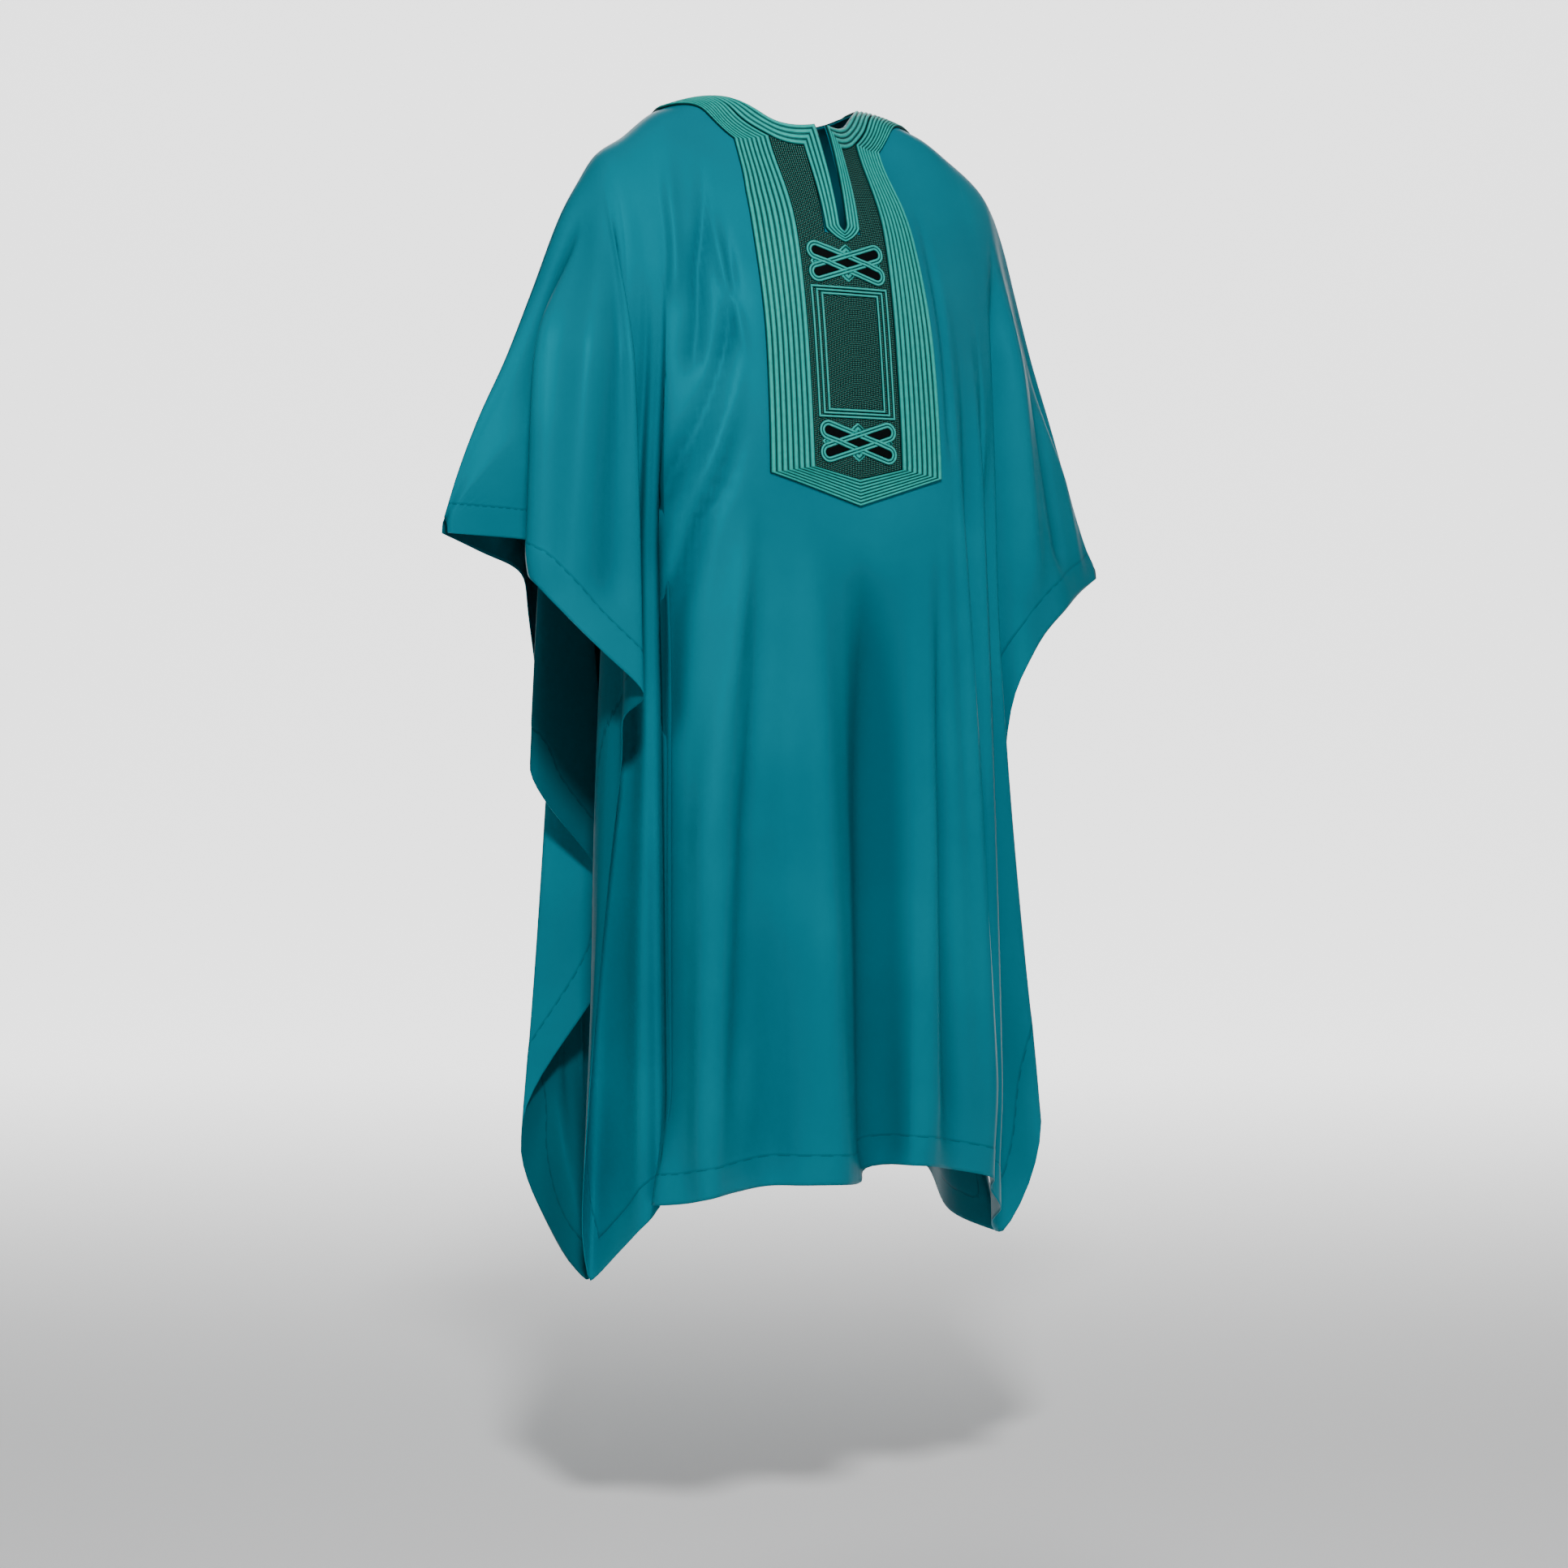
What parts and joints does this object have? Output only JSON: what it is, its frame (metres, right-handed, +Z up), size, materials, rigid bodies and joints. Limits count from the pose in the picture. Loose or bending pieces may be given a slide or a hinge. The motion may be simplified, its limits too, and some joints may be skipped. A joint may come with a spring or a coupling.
{
  "type": "grand boubou robe",
  "caption": "Wide-sleeved open-sided robe in its worn drape, with a round slit neck, corded collar and a long embroidered placket ending in a point.",
  "frame": {"origin": "middle of the neck opening at the height of the shoulder ridge, where the robe rests on its wearer", "axes": "+Z up, the front faces -Y, the wearer's left is +X"},
  "size_m": [0.804, 0.371, 1.2488],
  "materials": {
    "cloth": "smooth, softly shining woven suiting",
    "cord": "raised shining embroidery cord",
    "net": "dark ground with a net of fine thread"
  },
  "bodies": {
    "root": {"front_panel": "cloth", "back_panel": "cloth", "outer_cords": "cord", "neck_cords": "cord", "back_neck_cords": "cord", "placket_net": "net", "frame_cord_outer": "cord", "frame_cord_middle": "cord", "frame_cord_inner": "cord", "knot_upper": "cord", "knot_lower": "cord"}
  },
  "joints": []
}
